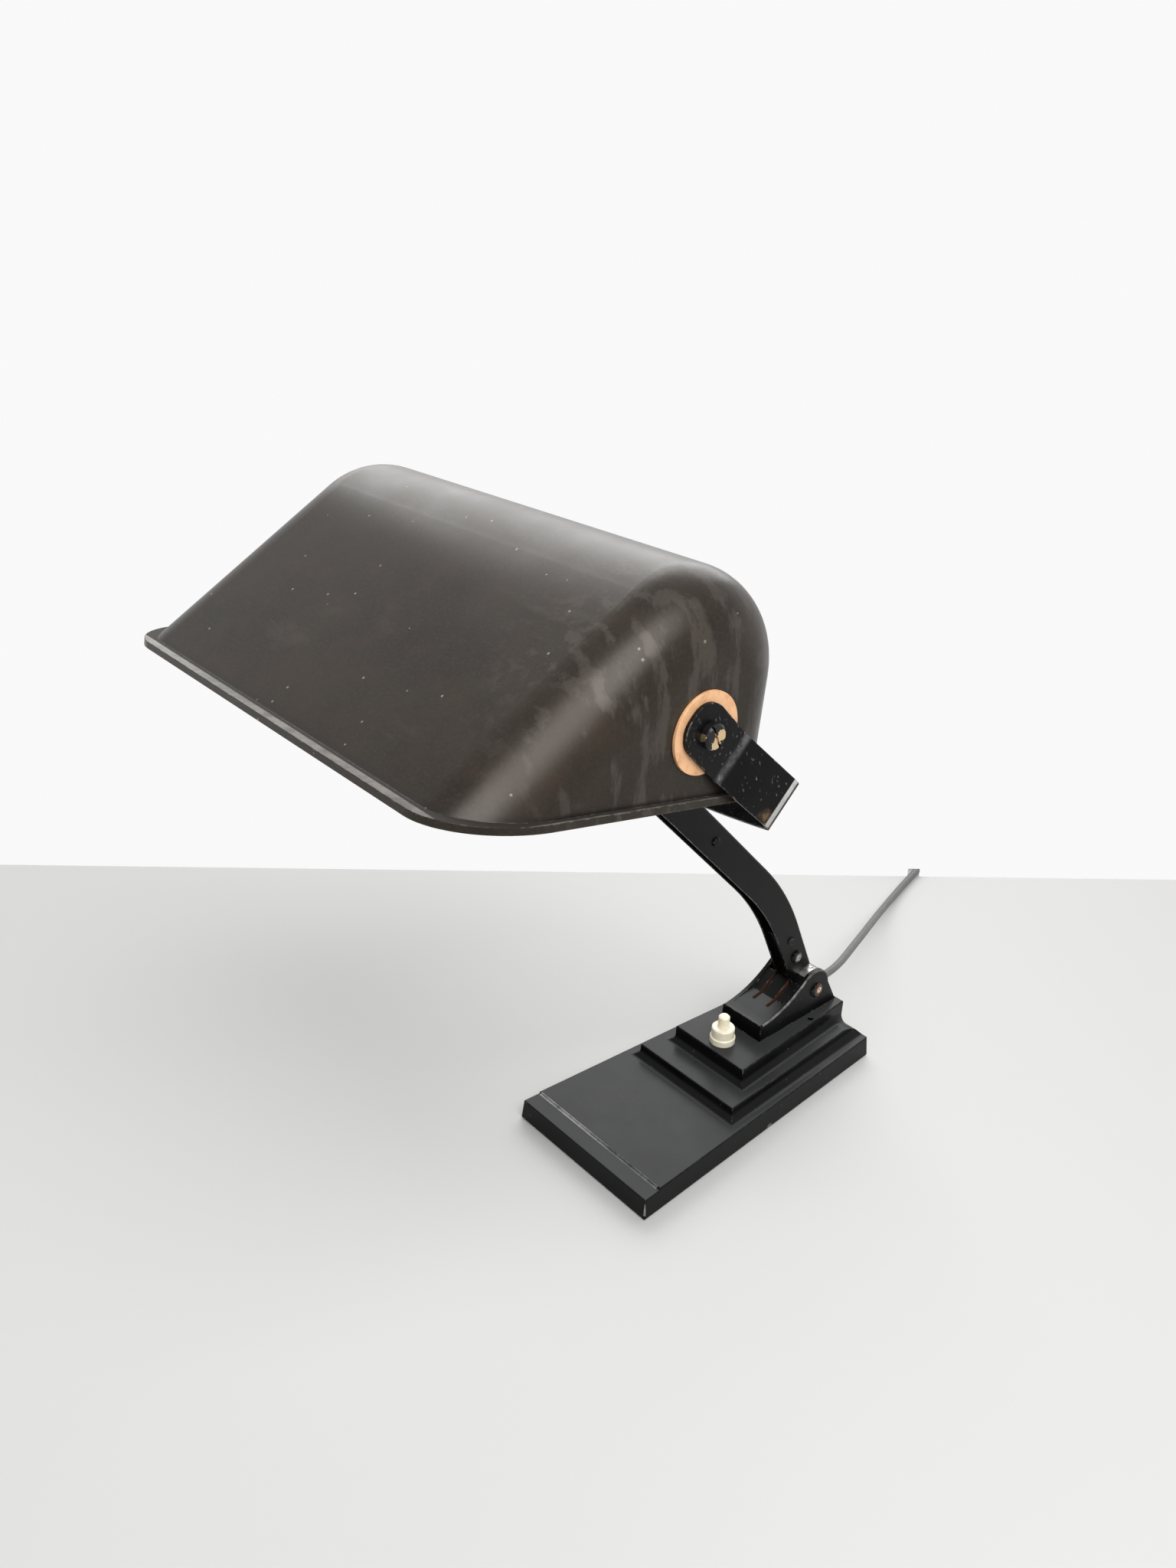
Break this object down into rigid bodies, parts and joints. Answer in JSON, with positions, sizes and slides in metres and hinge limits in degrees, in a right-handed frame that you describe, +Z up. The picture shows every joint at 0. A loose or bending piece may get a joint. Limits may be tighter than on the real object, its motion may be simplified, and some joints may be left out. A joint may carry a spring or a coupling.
{
  "type": "desk lamp",
  "caption": "Desk lamp with a long moulded shade on a bowed yoke, a curved channel arm hinged to a stepped weighted base, and a push switch.",
  "frame": {"origin": "centre of the base's underside, on the surface that the lamp stands on", "axes": "+Z up, +Y from the plate's free front edge to the hinge at the back, +X the lamp's right seen from the front"},
  "size_m": [0.3502, 0.6545, 0.3695],
  "materials": {
    "black_enamel": "glossy black enamel, chipped at the edges",
    "plain_steel": "plain",
    "brass": "dull",
    "iron": "as cast",
    "felt": "napped",
    "shade_moulding": "satin, scuffed dark brown phenolic",
    "ivory_moulding": "satin",
    "dark_moulding": "satin",
    "porcelain": "glazed",
    "bulb_glass": "frosted",
    "copper": "tarnished copper",
    "cord": "grey flex",
    "tie_tape": "woven tape"
  },
  "bodies": {
    "base": {"base_shell": "black_enamel", "base_weight": "iron", "bottom_cover": "plain_steel", "felt_pad": "felt", "cover_screw_front": "plain_steel", "cover_screw_back": "plain_steel", "hinge_pin": "brass", "switch_collar": "ivory_moulding", "switch_body": "dark_moulding", "switch_spring": "plain_steel", "cord_bush": "dark_moulding", "cord_run": "cord", "cord_coil": "cord", "cord_tie": "tie_tape", "plug_body": "dark_moulding", "plug_pin_left": "brass", "plug_pin_right": "brass"},
    "button": {"switch_button": "ivory_moulding"},
    "arm": {"arm_channel": "black_enamel", "arm_knuckle": "black_enamel", "foot_rivet": "black_enamel", "foot_screw": "black_enamel", "hinge_washer_left": "plain_steel", "hinge_washer_right": "plain_steel", "keeper_rivet": "black_enamel", "head_rivet": "black_enamel", "arm_head": "black_enamel", "head_screw_upper": "black_enamel", "head_screw_lower": "black_enamel", "yoke": "black_enamel", "pivot_screw": "black_enamel", "pivot_nut": "plain_steel", "pivot_nipple": "brass", "holder_cap": "dark_moulding", "holder_shell": "dark_moulding", "holder_seat": "porcelain", "holder_sleeve": "brass", "bulb_cap": "brass", "bulb_glass": "bulb_glass"},
    "shade": {"shade": "shade_moulding", "ring_washer_left": "copper", "ring_washer_right": "copper", "inner_washer_left": "plain_steel", "inner_washer_right": "plain_steel"}
  },
  "joints": [
    {"name": "arm_tilt", "type": "hinge", "parent": "base", "child": "arm", "pos_m": [0, 0.0738, 0.0479], "axis": [1, 0, 0], "range_deg": [-40, 25]},
    {"name": "shade_tilt", "type": "hinge", "parent": "arm", "child": "shade", "pos_m": [0, -0.15927, 0.31632], "axis": [1, 0, 0], "range_deg": [-50, 70]},
    {"name": "switch_press", "type": "slide", "parent": "base", "child": "button", "axis": [0, 0, -1], "range_m": [0, 0.004], "stiffness_N_per_m": 450, "springref_m": -0.003, "deforming": ["switch_spring"]}
  ]
}
